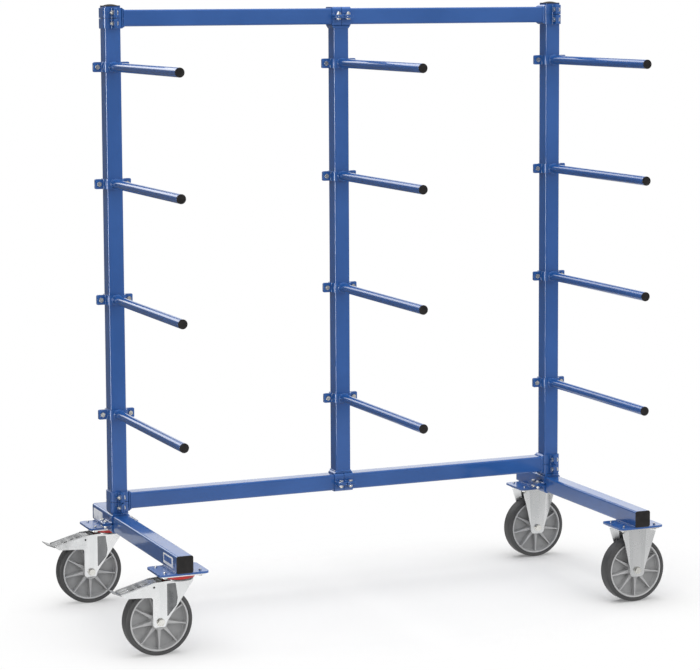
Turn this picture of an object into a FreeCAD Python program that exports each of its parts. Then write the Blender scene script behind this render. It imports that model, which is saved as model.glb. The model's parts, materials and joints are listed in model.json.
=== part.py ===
import FreeCAD, Part
import math
import os

# Mobile cantilever rack: three posts on two floor beams, four levels of three round arms,
# two swivel casters with brake pedals on the left beam and two fixed casters on the right one.
# Millimetres. X runs along the rack, the arms point towards -Y, Z is up, and the origin lies
# on the floor below the middle post.

# ---- square tube frame -----------------------------------------------------------------
tube = 50.0                # outer side of every square tube
tube_wall = 3.0
post_pitch = 737.5         # centre distance between neighbouring posts
beam_length = 800.0        # floor beam, without its end caps
beam_back = 177.0          # how far the beam runs behind the posts
top_rail_rise = 145.0      # top rail above the highest arms
post_rise = 4.0            # post standing proud of the top joint
vent_radius = 4.0          # vent hole in the closed tube ends
cap_flange = 3.0           # plastic end caps of the beams and posts
cap_round = 1.2            # rounded rim of every cap
cap_stem = 14.0
cap_stem_wall = 3.0
cap_crown = 4.0            # height of the dome on a post cap
cap_fit = 0.2              # air between a cap stem and the tube wall

# ---- tube joints: a welded saddle and two separate straps, bolted through their ears ----
strap_width = 30.0
strap_thickness = 4.0
strap_gap = 1.5            # between the two straps of a joint
strap_fit = 0.2            # air between strap and tube
ear_gap = 1.0              # between the two ears of a pair
ear_corner = 4.0
ear_bend = 2.0             # inner radius where the strap turns into the ear
saddle_nose = 6.0          # depth of the flare between tube and saddle
joint_stack_gap = 0.3      # between the base saddle and the joint above it

# ---- hexagon bolts through the ears ------------------------------------------------------
bolt_radius = 4.0
bolt_fit = 0.25
bolt_head_height = 5.3
bolt_nut_height = 6.8
bolt_flats = 13.0
head_turn_share = 0.6      # how far a hexagon's corners are turned down
head_face_share = 0.48     # radius of the face that this leaves, as a share of the flats
bolt_tip = 3.0             # thread showing past the nut
bolt_bend_gap = 5.1        # between the corner of the bolt head and the bend of the ear
bolt_edge = 12.5           # bolt axis to the tip of the ear

# ---- arms --------------------------------------------------------------------------------
arm_radius = 14.0
arm_wall = 2.5
arm_length = 600.0         # from the clamp face to the tip of the tube
arm_weld = 4.0             # leg of the weld bead round the arm root
arm_cap_stem = 15.0
slide_fit = 0.4            # air between an arm clamp and its post
first_level_z = 600.0
level_step = 350.0
level_count = 4

# ---- caster mounting ---------------------------------------------------------------------
hole_spacing_x = 105.0     # bolt holes of a caster, along the rack
hole_spacing_y = 80.0
caster_plate_edge = 15.0   # hole centres to the edges of the caster's plate
caster_plate_thickness = 4.0
caster_plate_corner = 10.0
foot_plate_over_x = 7.5    # foot plate standing out past the caster's plate
foot_plate_over_y = 5.0
foot_plate_thickness = 6.0
foot_plate_corner = 12.0
plate_bolt_radius = 4.0
plate_bolt_fit = 0.25
plate_bolt_flats = 13.0
plate_bolt_head = 5.5
plate_bolt_tip = 4.0
front_wheel_inset = 61.0   # wheel centre behind the front end of the beam
back_wheel_inset = 74.0    # wheel centre ahead of the back end of the beam

# ---- wheels ------------------------------------------------------------------------------
wheel_radius = 100.0
tyre_thickness = 12.5
tyre_width = 46.0
tyre_shoulder = 7.0
tyre_groove = 0.8          # shallow line round each side of the tread
tyre_groove_from_edge = 9.0
rim_lip = 6.0              # radial thickness of the rim ring
rim_web = 7.0              # thickness of the disc between the spokes
rim_inset = 1.0            # rim edge inside the side of the tyre
hub_radius = 24.0
hub_proud = 4.0            # hub standing out past the rim
spoke_count = 9
spoke_root = 11.0          # spoke width at the hub
spoke_tip = 3.6            # spoke width at the rim
spoke_recess = 4.0         # spoke face below the rim's edge
bearing_radius = 16.0
bearing_width = 11.0
hub_bore_room = 2.0        # air round the axle between the bearings
spacer_length = 2.0        # between a hub and its fork leg
spacer_wall = 3.0
axle_radius = 6.0
axle_fit = 0.05
axle_flats = 19.0
axle_head = 6.5
axle_collar = 11.5         # radius of the round collar under the head and the nut
axle_collar_height = 2.0
axle_nut_tip = 2.5

# ---- forks and brackets ------------------------------------------------------------------
headroom = 35.0            # tyre top to the mounting face of a caster
fork_sheet = 4.0
seal_radius = 49.0
seal_height = 10.5
seal_round = 3.0
race_radius = 34.0
crown_radius = 44.0
crown_height = 5.5
crown_step = 2.0           # rounded rise of the crown disc above the bridge of the fork
crown_tail = 10.0          # bridge reaching back past the crown disc
swivel_gap = 0.5           # between the seal and the turning crown
king_pin_radius = 6.0
king_pin_head = 12.0
king_pin_head_height = 3.0
trail = 64.0               # wheel centre behind the swivel axis
leg_half = 22.0            # half the width of a leg at the axle
leg_foot = 14.5            # leg below the axle
leg_corner = 8.0
crown_reach = 34.0         # front edge of a leg at the crown, from the swivel axis
leg_front_radius = 12.0
sheet_corner = 3.0         # small corners of the pressed sheets
guard_reach = 116.0        # brake guard tip behind the wheel centre
guard_drop = 42.0          # lower edge of the guard below the crown
guard_nose = 15.0          # slanted end of the guard
guard_nose_low = 4.0       # rise of the lower edge where the nose starts
guard_nose_high = 14.5     # rise of the lower edge to the tip
guard_shoulder = 14.0      # radius where the guard's top edge meets the crown
panel_depth = 1.8          # pressed panel in the outside of a leg
panel_start = 2.0          # panel's rear edge inside the leg's flat strip
panel_top = 5.0            # panel's top edge below the crown
panel_length = 26.0
panel_belly = 6.0          # how far the panel bulges forward
panel_belly_drop = 43.0    # where it bulges, below its top edge
panel_point_rise = 14.0    # lowest corner above the axle
bracket_sheet = 3.5
bracket_top_half = 33.0    # half width of a fixed leg's flat panel at the top
bracket_foot_half = 24.0
bracket_foot = 19.0        # fixed leg below the axle
bracket_corner = 11.0
bracket_flare_x = 24.0     # the side wings widen by this much at the top
bracket_flare_y = 12.0     # and stand out by this much
bracket_wing_gap = 4.5     # wing tips below the bolt heads
bracket_wing_root = 2.0    # wings rooted this far inside the edges of the flat panel

# ---- brake pedals ------------------------------------------------------------------------
pedal_sheet = 2.5
pedal_fit = 0.5            # air between the pedal and the guard plates
pedal_flange = 9.0
pedal_pivot_back = 18.0    # pivot behind the wheel centre
pedal_pivot_drop = 13.0    # pivot below the crown
pedal_pin_radius = 3.0
pedal_pin_fit = 0.05
pedal_top_gap = 2.0        # tread below the crown
pedal_root = 16.0          # tread ahead of the pivot
pedal_bend_back = 4.0      # bend of the tread behind the fork leg
pedal_tip_inset = 2.0      # end of the slope inside the guard tips
pedal_tip_rise = 14.0      # end of the slope above the guard's lower edge
pedal_lip = 27.0           # length of the flatter tread at the tip
pedal_lip_angle = 22.0     # and its rise
pedal_bend_radius = 12.0
pedal_ear_round = 7.0      # ear round the pin
pedal_ear_corner = 5.0
pedal_slot_width = 5.0
pedal_slot_length = 26.0
pedal_slot_place = -0.33   # along the slope, as a share of its length from the middle
pedal_slot_apart = 17.0
pedal_pad_height = 1.2
pedal_pad_share = 0.16     # length of a pad, as a share of the slope
pedal_pads = ((-0.10, 34.0), (0.14, 30.0), (0.36, 34.0))  # place along the slope, and width

# ---- derived places ----------------------------------------------------------------------
half = tube / 2.0
tube_corner = 2.0 * tube_wall
tube_bore = tube - 2.0 * tube_wall
post_x = {"left": -post_pitch, "middle": 0.0, "right": post_pitch}
bend_radius = strap_thickness + ear_bend
bolt_from_face = strap_fit + bend_radius + bolt_flats / math.sqrt(3.0) + bolt_bend_gap
ear_reach = bolt_from_face + bolt_edge
caster_plate_length = hole_spacing_x + 2.0 * caster_plate_edge
caster_plate_width = hole_spacing_y + 2.0 * caster_plate_edge
foot_plate_length = caster_plate_length + 2.0 * foot_plate_over_x
foot_plate_width = caster_plate_width + 2.0 * foot_plate_over_y
caster_height = 2.0 * wheel_radius + headroom
beam_z = caster_height + foot_plate_thickness + half
saddle_depth = strap_fit + strap_thickness + saddle_nose
collar_width = 2.0 * strap_width + strap_gap
row_offset = (strap_width + strap_gap) / 2.0
bottom_rail_z = beam_z + half + saddle_depth + joint_stack_gap + collar_width / 2.0
top_level_z = first_level_z + (level_count - 1) * level_step
top_rail_z = top_level_z + top_rail_rise
post_top_z = top_rail_z + collar_width / 2.0 + post_rise
beam_front = beam_back - beam_length
wheel_y = {"front": beam_front + front_wheel_inset, "rear": beam_back - back_wheel_inset}
crown_top = caster_height - caster_plate_thickness - seal_height - swivel_gap
crown_bottom = crown_top - crown_height
rim_radius = wheel_radius - tyre_thickness
rim_width = tyre_width - 2.0 * rim_inset
hub_width = rim_width + 2.0 * hub_proud
fork_inside = hub_width + 2.0 * spacer_length
fork_outside = fork_inside + 2.0 * fork_sheet
pivot_x = -trail - pedal_pivot_back
pivot_z = crown_bottom - pedal_pivot_drop
guard_low = crown_bottom - guard_drop

X = FreeCAD.Vector(1, 0, 0)
Y = FreeCAD.Vector(0, 1, 0)
Z = FreeCAD.Vector(0, 0, 1)
DIAGONAL = FreeCAD.Vector(1, 1, 1)
ORIGIN = FreeCAD.Vector(0, 0, 0)


# ---- small helpers -----------------------------------------------------------------------
def vec(x, y, z):
    return FreeCAD.Vector(x, y, z)


def moved(shape, x=0.0, y=0.0, z=0.0):
    copy = shape.copy()
    copy.translate(vec(x, y, z))
    return copy


def turned(shape, axis, degrees):
    copy = shape.copy()
    copy.rotate(ORIGIN, axis, degrees)
    return copy


def fuse(shapes):
    joined = shapes[0].multiFuse(shapes[1:])
    return joined.removeSplitter()


def cylinder(radius, height, base, axis):
    return Part.makeCylinder(radius, height, base, axis)


def block(x0, x1, y0, y1, z0, z1):
    return Part.makeBox(x1 - x0, y1 - y0, z1 - z0, vec(x0, y0, z0))


def polygon(points):
    return Part.Face(Part.makePolygon(points + [points[0]]))


def rounded_square(side, radius, thickness):
    return rounded_plate(side, side, radius, thickness)


def rounded_plate(length, width, radius, thickness):
    """A slab with rounded corners, centred on the Z axis, from z = 0 up."""
    slab = block(-length / 2, length / 2, -width / 2, width / 2, 0.0, thickness)
    upright = [edge for edge in slab.Edges if abs(edge.tangentAt(edge.FirstParameter).z) > 0.99]
    return slab.makeFillet(radius, upright)


def square_tube(length):
    """The frame's tube, standing on z = 0."""
    outside = rounded_square(tube, tube_corner, length)
    inside = rounded_square(tube_bore, tube_corner - tube_wall, length)
    return outside.cut(inside)


def hexagon(flats, height):
    """A hexagonal prism on z = 0 with its upper corners turned down as on a real head."""
    corner = flats / math.sqrt(3.0)
    angles = [math.radians(60 * i) for i in range(6)]
    prism = polygon([vec(corner * math.cos(a), corner * math.sin(a), 0) for a in angles])
    prism = prism.extrude(vec(0, 0, height))
    turned_off = (corner - flats / 2.0) * head_turn_share
    cone = Part.makeCone(corner, flats * head_face_share, turned_off, vec(0, 0, height - turned_off))
    envelope = cylinder(corner, height - turned_off, ORIGIN, Z).fuse(cone)
    return prism.common(envelope)


def rounded_outline(corners):
    """A face in the XZ plane from (x, z, radius) corners, each rounded by its own radius."""
    edges = []
    starts = []
    count = len(corners)
    for i in range(count):
        x, z, radius = corners[i]
        here = vec(x, 0, z)
        before = vec(corners[i - 1][0], 0, corners[i - 1][1])
        after = vec(corners[(i + 1) % count][0], 0, corners[(i + 1) % count][1])
        to_before = (before - here).normalize()
        to_after = (after - here).normalize()
        turn = to_before.getAngle(to_after)
        reach = radius / math.tan(turn / 2.0) if radius > 0 else 0.0
        first = here + to_before * reach
        last = here + to_after * reach
        if radius > 0:
            inward = (to_before + to_after).normalize()
            middle = here + inward * (radius / math.sin(turn / 2.0) - radius)
            edges.append(Part.Arc(first, middle, last).toShape())
        starts.append((first, last))
    for i in range(count):
        last = starts[i][1]
        first = starts[(i + 1) % count][0]
        edges.append(Part.LineSegment(last, first).toShape())
    return Part.Face(Part.Wire(Part.__sortEdges__(edges)))


def both_sides(shape):
    """A shape and its mirror image across the XZ plane."""
    return [shape, shape.mirror(ORIGIN, Y)]


# ---- straps, saddles and their bolts -----------------------------------------------------
def half_strap(width, fit):
    """A strap round half of a tube that runs along Z: web on the -Y side, ears towards -X and +X."""
    inner = half + fit
    inner_radius = tube_corner + fit
    outer = inner + strap_thickness
    outer_radius = inner_radius + strap_thickness
    bend = bend_radius
    inner_bend = bend - strap_thickness
    face = -ear_gap / 2.0
    tip = half + ear_reach

    def arc(cx, cy, radius, start, end):
        middle = (start + end) / 2.0
        spots = [vec(cx + radius * math.cos(math.radians(a)), cy + radius * math.sin(math.radians(a)), 0)
                 for a in (start, middle, end)]
        return Part.Arc(*spots).toShape()

    def line(x0, y0, x1, y1):
        return Part.LineSegment(vec(x0, y0, 0), vec(x1, y1, 0)).toShape()

    corner = inner - inner_radius
    right = [
        line(0, -inner, corner, -inner),
        arc(corner, -corner, inner_radius, -90, 0),
        line(inner, -corner, inner, face - bend),
        arc(inner + bend, face - bend, bend, 180, 90),
        line(inner + bend, face, tip, face),
        line(tip, face, tip, face - strap_thickness),
        line(tip, face - strap_thickness, inner + bend, face - strap_thickness),
        arc(inner + bend, face - bend, inner_bend, 90, 180),
        line(outer, face - bend, outer, -corner),
        arc(corner, -corner, outer_radius, 0, -90),
        line(corner, -outer, 0, -outer),
    ]
    left = [edge.mirror(ORIGIN, X) for edge in right]
    profile = Part.Face(Part.Wire(Part.__sortEdges__(right + left)))
    strap = profile.extrude(vec(0, 0, width))
    strap.translate(vec(0, 0, -width / 2.0))
    tips = [e for e in strap.Edges
            if abs(abs(e.CenterOfMass.x) - tip) < 0.01 and abs(abs(e.CenterOfMass.z) - width / 2.0) < 0.01]
    strap = strap.makeFillet(ear_corner, tips)
    for side in (-1, 1):
        hole_x = side * (half + bolt_from_face)
        strap = strap.cut(cylinder(bolt_radius + bolt_fit, 4 * strap_thickness,
                                   vec(hole_x, face - 2 * strap_thickness, 0), Y))
    return strap


def saddle():
    """The welded half of a joint: two strap rows, a full web and the flare towards its own tube.

    It holds a tube along Z and its own tube leaves towards -Y."""
    rows = [moved(half_strap(strap_width, strap_fit), z=side * row_offset) for side in (-1, 1)]
    web_front = -(half + strap_fit)
    web_back = web_front - strap_thickness
    nose_end = web_back - saddle_nose
    high = collar_width / 2
    web = block(-half + tube_corner, half - tube_corner, web_back, web_front, -high, high)
    side = [vec(-half, web_back, -high), vec(-half, web_back, high),
            vec(-half, nose_end, half), vec(-half, nose_end, -half)]
    flare = polygon(side).extrude(vec(tube, 0, 0))
    bore = tube_bore / 2
    hollow = block(-bore, bore, nose_end, web_back, -bore, bore)
    vent = cylinder(vent_radius, strap_thickness + 2, vec(0, web_back - 1, 0), Y)
    return fuse(rows + [web, flare.cut(hollow)]).cut(vent)


def hex_bolt():
    """A bolt and its nut as two solids: axis along Y through a pair of ears, head on the -Y side."""
    grip = ear_gap / 2.0 + strap_thickness
    head = turned(hexagon(bolt_flats, bolt_head_height), X, 90)
    head = moved(head, y=-grip)
    shank = cylinder(bolt_radius, 2 * grip + bolt_nut_height + bolt_tip, vec(0, -grip, 0), Y)
    nut = turned(hexagon(bolt_flats, bolt_nut_height), X, -90)
    nut = nut.cut(cylinder(bolt_radius, bolt_nut_height, ORIGIN, Y))
    return [head.fuse(shank).removeSplitter(), moved(nut, y=grip)]


def joint_fasteners(rows):
    """The bolts and nuts of one clamp, for a tube along Z with the bolt heads towards -Y."""
    pieces = []
    for side in (-1, 1):
        for row in rows:
            pieces += [moved(piece, x=side * (half + bolt_from_face), z=row) for piece in hex_bolt()]
    return pieces


def joint_straps():
    """The two loose straps of a joint, on the +Y side of a tube along Z."""
    strap = turned(half_strap(strap_width, strap_fit), Z, 180)
    return [moved(strap, z=side * row_offset) for side in (-1, 1)]


# Each placement turns the standing joint above so that its own tube leaves in a given direction.
def rail_to_post(shape, side):
    """Held tube along Z, own tube leaving towards the middle of the rack."""
    return turned(shape, Z, 90 if side < 0 else -90)


def post_to_rail(shape, side):
    """Held tube along X, own tube leaving downwards (side < 0) or upwards (side > 0)."""
    standing = turned(shape, DIAGONAL, 120)
    return standing if side < 0 else turned(standing, X, 180)


def post_to_beam(shape):
    """Held tube along Y, own tube leaving upwards."""
    return turned(shape, X, -90)


def joint_places():
    """Every tube joint: a function that turns a standing joint, and its centre."""
    places = []
    for side in (-1, 1):
        for height in (bottom_rail_z, top_rail_z):
            places.append((lambda s, k=side: rail_to_post(s, k), vec(side * post_pitch, 0, height)))
        places.append((post_to_beam, vec(side * post_pitch, 0, beam_z)))
    places.append((lambda s: post_to_rail(s, -1), vec(0, 0, top_rail_z)))
    places.append((lambda s: post_to_rail(s, 1), vec(0, 0, bottom_rail_z)))
    return places


def at_joints(pieces):
    """Copies of the given pieces at every tube joint."""
    copies = []
    for turn, centre in joint_places():
        copies += [moved(turn(piece), centre.x, centre.y, centre.z) for piece in pieces]
    return copies


# ---- frame -------------------------------------------------------------------------------
def rail(height):
    start = -post_pitch + half + saddle_depth
    body = turned(square_tube(-2 * start), Y, 90)
    left = moved(rail_to_post(saddle(), -1), x=-post_pitch)
    right = moved(rail_to_post(saddle(), 1), x=post_pitch)
    return moved(fuse([moved(body, x=start), left, right]), z=height)


def outer_post(x):
    start = beam_z + half + saddle_depth
    body = moved(square_tube(post_top_z - start), z=start)
    foot = moved(post_to_beam(saddle()), z=beam_z)
    return moved(fuse([body, foot]), x=x)


def middle_post():
    start = bottom_rail_z + half + saddle_depth
    end = top_rail_z - half - saddle_depth
    body = moved(square_tube(end - start), z=start)
    head = moved(post_to_rail(saddle(), -1), z=top_rail_z)
    foot = moved(post_to_rail(saddle(), 1), z=bottom_rail_z)
    return fuse([body, head, foot])


def at_bolt_holes(piece):
    """Four copies of a piece, at the bolt holes of a caster."""
    x = hole_spacing_x / 2
    y = hole_spacing_y / 2
    return [moved(piece, sx * x, sy * y) for sx in (-1, 1) for sy in (-1, 1)]


def plate_holes(depth):
    """Cylinders for the four bolt holes of a caster, from z = 0 up."""
    hole = cylinder(plate_bolt_radius + plate_bolt_fit, depth, ORIGIN, Z)
    return at_bolt_holes(hole)


def base_beam(x):
    body = turned(square_tube(beam_length), X, 90)
    pieces = [moved(body, y=beam_back, z=beam_z)]
    plate = rounded_plate(foot_plate_length, foot_plate_width, foot_plate_corner, foot_plate_thickness)
    plate = plate.cut(plate_holes(foot_plate_thickness))
    pieces += [moved(plate, y=y, z=caster_height) for y in wheel_y.values()]
    return moved(fuse(pieces), x=x)


def tube_cap(crown):
    """A cap for a tube that ends at z = 0 and opens upwards, with a dome of the given height."""
    flange = rounded_square(tube, tube_corner, cap_flange)
    lip = [e for e in flange.Edges if abs(e.CenterOfMass.z - cap_flange) < 0.01]
    flange = flange.makeFillet(cap_round, lip)
    stem_side = tube_bore - 2 * cap_fit
    stem = rounded_square(stem_side, tube_corner - tube_wall, cap_stem + cap_flange / 2)
    pocket = rounded_square(stem_side - 2 * cap_stem_wall, cap_round, cap_stem)
    stem = stem.cut(pocket)
    pieces = [flange, moved(stem, z=-cap_stem)]
    if crown > 0:
        base = tube / 2 - cap_flange
        sphere_radius = (base ** 2 + crown ** 2) / (2 * crown)
        dome = Part.makeSphere(sphere_radius, vec(0, 0, cap_flange + crown - sphere_radius))
        inside = rounded_square(tube - 2 * cap_round, tube_corner, crown + cap_flange)
        inside = moved(inside, z=cap_flange / 2)
        pieces.append(dome.common(inside))
    return fuse(pieces)


def beam_end_caps():
    caps = []
    for side in (-1, 1):
        front = moved(turned(tube_cap(0.0), X, 90), side * post_pitch, beam_front, beam_z)
        back = moved(turned(tube_cap(0.0), X, -90), side * post_pitch, beam_back, beam_z)
        caps += [front, back]
    return caps


def post_top_caps():
    return [moved(tube_cap(cap_crown), x=side * post_pitch, z=post_top_z) for side in (-1, 1)]


# ---- arms --------------------------------------------------------------------------------
arm_face = half + slide_fit + strap_thickness


def arm():
    """Front strap with the round arm welded on, for a post along Z at the origin."""
    strap = half_strap(strap_width, slide_fit)
    root = vec(0, -arm_face + strap_thickness / 2, 0)
    body = cylinder(arm_radius, arm_length + strap_thickness / 2, root, -Y)
    bore = cylinder(arm_radius - arm_wall, arm_length + 1, vec(0, -arm_face, 0), -Y)
    weld = Part.makeCone(arm_radius + arm_weld, arm_radius, arm_weld, vec(0, -arm_face, 0), -Y)
    weld = weld.common(block(-half, half, -2 * arm_face, 0, -strap_width / 2, strap_width / 2))
    return fuse([strap, body, weld]).cut(bore)


def arm_cap():
    tip = vec(0, -arm_face - arm_length, 0)
    flange = cylinder(arm_radius, cap_flange, tip, -Y)
    edge = [e for e in flange.Edges if abs(e.CenterOfMass.y - (tip.y - cap_flange)) < 0.01]
    flange = flange.makeFillet(cap_round, edge)
    stem = cylinder(arm_radius - arm_wall - cap_fit, arm_cap_stem, tip, Y)
    return flange.fuse(stem).removeSplitter()


def at_posts(pieces, height):
    return [moved(piece, x=x, z=height) for x in post_x.values() for piece in pieces]


# ---- wheels ------------------------------------------------------------------------------
def ring(profile):
    """A body turned round the Y axis from (radius, y) points."""
    face = polygon([vec(r, y, 0) for r, y in profile])
    return face.revolve(ORIGIN, Y, 360)


def tyre():
    w = tyre_width / 2
    body = ring([(rim_radius, -w), (wheel_radius, -w), (wheel_radius, w), (rim_radius, w)])
    shoulders = [e for e in body.Edges if isinstance(e.Curve, Part.Circle)
                 and abs(e.Curve.Radius - wheel_radius) < 0.01]
    body = body.makeFillet(tyre_shoulder, shoulders)
    for side in (-1, 1):
        y = side * (w - tyre_groove_from_edge)
        deep = wheel_radius - tyre_groove
        high = wheel_radius + tyre_groove
        near = y - tyre_groove
        far = y + tyre_groove
        body = body.cut(ring([(deep, near), (deep, far), (high, far), (high, near)]))
    return body


def rim():
    inner = rim_radius - rim_lip
    w = rim_width / 2
    lip = ring([(inner, -w), (rim_radius, -w), (rim_radius, w), (inner, w)])
    # The web and the spokes run a little into the hub and the lip, so that they fuse.
    start = hub_radius - rim_lip / 3
    end = inner + rim_lip / 3
    thin = rim_web / 2
    web = ring([(start, -thin), (end, -thin), (end, thin), (start, thin)])
    hub = cylinder(hub_radius, hub_width, vec(0, -hub_width / 2, 0), Y)
    face = w - spoke_recess
    spoke = polygon([vec(start, -face, -spoke_root / 2), vec(end, -face, -spoke_tip / 2),
                     vec(end, -face, spoke_tip / 2), vec(start, -face, spoke_root / 2)])
    spoke = spoke.extrude(vec(0, 2 * face, 0))
    spokes = [turned(spoke, Y, 90 + 360.0 / spoke_count * i) for i in range(spoke_count)]
    body = fuse([lip, web, hub] + spokes)
    body = body.cut(cylinder(axle_radius + hub_bore_room, hub_width, vec(0, -hub_width / 2, 0), Y))
    for side in (-1, 1):
        seat = cylinder(bearing_radius, bearing_width, vec(0, side * hub_width / 2, 0), -side * Y)
        body = body.cut(seat)
    return body


def hub_bearings():
    rings = []
    for side in (-1, 1):
        body = cylinder(bearing_radius, bearing_width, vec(0, side * hub_width / 2, 0), -side * Y)
        rings.append(body.cut(cylinder(axle_radius + axle_fit, hub_width * 2, vec(0, -hub_width, 0), Y)))
    return rings


def axle(outside):
    """Axle bolt and nut across a fork of the given outer width, head towards -Y."""
    face = outside / 2
    collar = cylinder(axle_collar, axle_collar_height, vec(0, -face, 0), -Y)
    head = moved(turned(hexagon(axle_flats, axle_head), X, 90), y=-face - axle_collar_height)
    shank_end = face + axle_collar_height + axle_head + axle_nut_tip
    shank = cylinder(axle_radius, face + shank_end, vec(0, -face, 0), Y)
    bolt = fuse([shank, collar, head])
    nut_hexagon = moved(turned(hexagon(axle_flats, axle_head), X, -90), y=face + axle_collar_height)
    nut = fuse([moved(collar, y=outside + axle_collar_height), nut_hexagon]).cut(shank)
    spacers = []
    for side in (-1, 1):
        hub_face = vec(0, side * hub_width / 2, 0)
        sleeve = cylinder(axle_radius + spacer_wall, spacer_length, hub_face, side * Y)
        spacers.append(sleeve.cut(shank))
    return [bolt, nut] + spacers


# ---- casters -----------------------------------------------------------------------------
def plate_bolts():
    """The four bolts that hold a caster below its foot plate, mounting face at z = 0."""
    under = vec(0, 0, -caster_plate_thickness)
    head = turned(hexagon(plate_bolt_flats, plate_bolt_head), X, 180)
    length = caster_plate_thickness + foot_plate_thickness + plate_bolt_tip
    shank = cylinder(plate_bolt_radius, length, under, Z)
    bolt = moved(head, z=under.z).fuse(shank).removeSplitter()
    return at_bolt_holes(bolt)


def caster_plate():
    """The caster's own mounting plate, upper face at z = 0."""
    thick = caster_plate_thickness
    plate = rounded_plate(caster_plate_length, caster_plate_width, caster_plate_corner, thick)
    return moved(plate.cut(plate_holes(thick)), z=-thick)


def swivel_top_plate():
    """Plate, upper race and riveted king pin of a swivel caster, mounting face at z = 0."""
    race = cylinder(race_radius, seal_height, vec(0, 0, -caster_plate_thickness), -Z)
    pin_length = caster_plate_thickness + seal_height + swivel_gap + crown_height + swivel_gap
    pin = cylinder(king_pin_radius, pin_length, ORIGIN, -Z)
    rivet = cylinder(king_pin_head, king_pin_head_height, vec(0, 0, -pin_length), -Z)
    return fuse([caster_plate(), race, pin, rivet])


def swivel_seal():
    body = cylinder(seal_radius, seal_height, vec(0, 0, -caster_plate_thickness), -Z)
    rims = [e for e in body.Edges if abs(e.CenterOfMass.z + caster_plate_thickness + seal_height) < 0.01]
    body = body.makeFillet(seal_round, rims)
    return body.cut(cylinder(race_radius, caster_plate_thickness + seal_height, ORIGIN, -Z))


def fork_leg():
    """A leg with its brake guard, as a sheet in the XZ plane; swivel axis on X = 0."""
    back = -trail - leg_half
    front = -trail + leg_half
    foot = wheel_radius - leg_foot
    guard_tip = -trail - guard_reach
    crown_edge = crown_bottom + crown_step
    leg = rounded_outline([
        (crown_reach, crown_edge, 0),
        (crown_reach, crown_bottom - fork_sheet, sheet_corner),
        (front - sheet_corner, wheel_radius, leg_front_radius),
        (front - leg_corner, foot, leg_corner / 2),
        (back, foot, leg_corner),
        (back, guard_low, leg_corner),
        (guard_tip + guard_nose, guard_low + guard_nose_low, 2 * sheet_corner),
        (guard_tip, guard_low + guard_nose_high, sheet_corner),
        (back + leg_corner, crown_bottom, guard_shoulder),
        (-crown_radius, crown_edge, 0),
    ]).extrude(vec(0, fork_sheet, 0))
    panel_back = front - panel_start
    panel_high = crown_bottom - panel_top
    panel_front = panel_back + panel_length
    panel = rounded_outline([
        (panel_back, panel_high, sheet_corner / 2),
        (panel_front, panel_high, sheet_corner),
        (panel_front + panel_belly, panel_high - panel_belly_drop, guard_shoulder),
        (panel_front + panel_start, panel_high - 1.5 * panel_belly_drop, leg_corner),
        (panel_back, wheel_radius + panel_point_rise, sheet_corner / 2),
    ]).extrude(vec(0, panel_depth, 0))
    axle_hole = cylinder(axle_radius + axle_fit, fork_sheet, vec(-trail, 0, wheel_radius), Y)
    pin_hole = cylinder(pedal_pin_radius + pedal_pin_fit, fork_sheet, vec(pivot_x, 0, pivot_z), Y)
    return leg.cut(panel).cut(axle_hole).cut(pin_hole)


def fork():
    """Swivel fork with the two guard plates for the pedal; swivel axis on X = Y = 0, floor at z = 0."""
    outer = fork_outside / 2
    legs = both_sides(moved(fork_leg(), y=-outer))
    top = crown_top - crown_step
    bridge = block(-crown_radius - crown_tail, crown_reach, -outer, outer, crown_bottom, top)
    lengthwise = [e for e in bridge.Edges if abs(e.tangentAt(e.FirstParameter).x) > 0.99]
    bends = [e for e in lengthwise if abs(e.CenterOfMass.z - top) < 0.01]
    bridge = bridge.makeFillet(sheet_corner, bends)
    disc = cylinder(crown_radius, crown_height, vec(0, 0, crown_bottom), Z)
    rims = [e for e in disc.Edges if abs(e.CenterOfMass.z - crown_top) < 0.01]
    disc = disc.makeFillet(crown_step, rims)
    bore = cylinder(king_pin_radius + axle_fit, crown_height, vec(0, 0, crown_bottom), Z)
    return fuse(legs + [bridge, disc]).cut(bore)


def fork_pins():
    """The two short pins that carry a pedal; they stop short of the tyre and of the outer faces."""
    start = fork_inside / 2 - pedal_fit - pedal_sheet
    length = pedal_sheet + pedal_fit + fork_sheet / 2
    return both_sides(cylinder(pedal_pin_radius, length, vec(pivot_x, start, pivot_z), Y))


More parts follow.
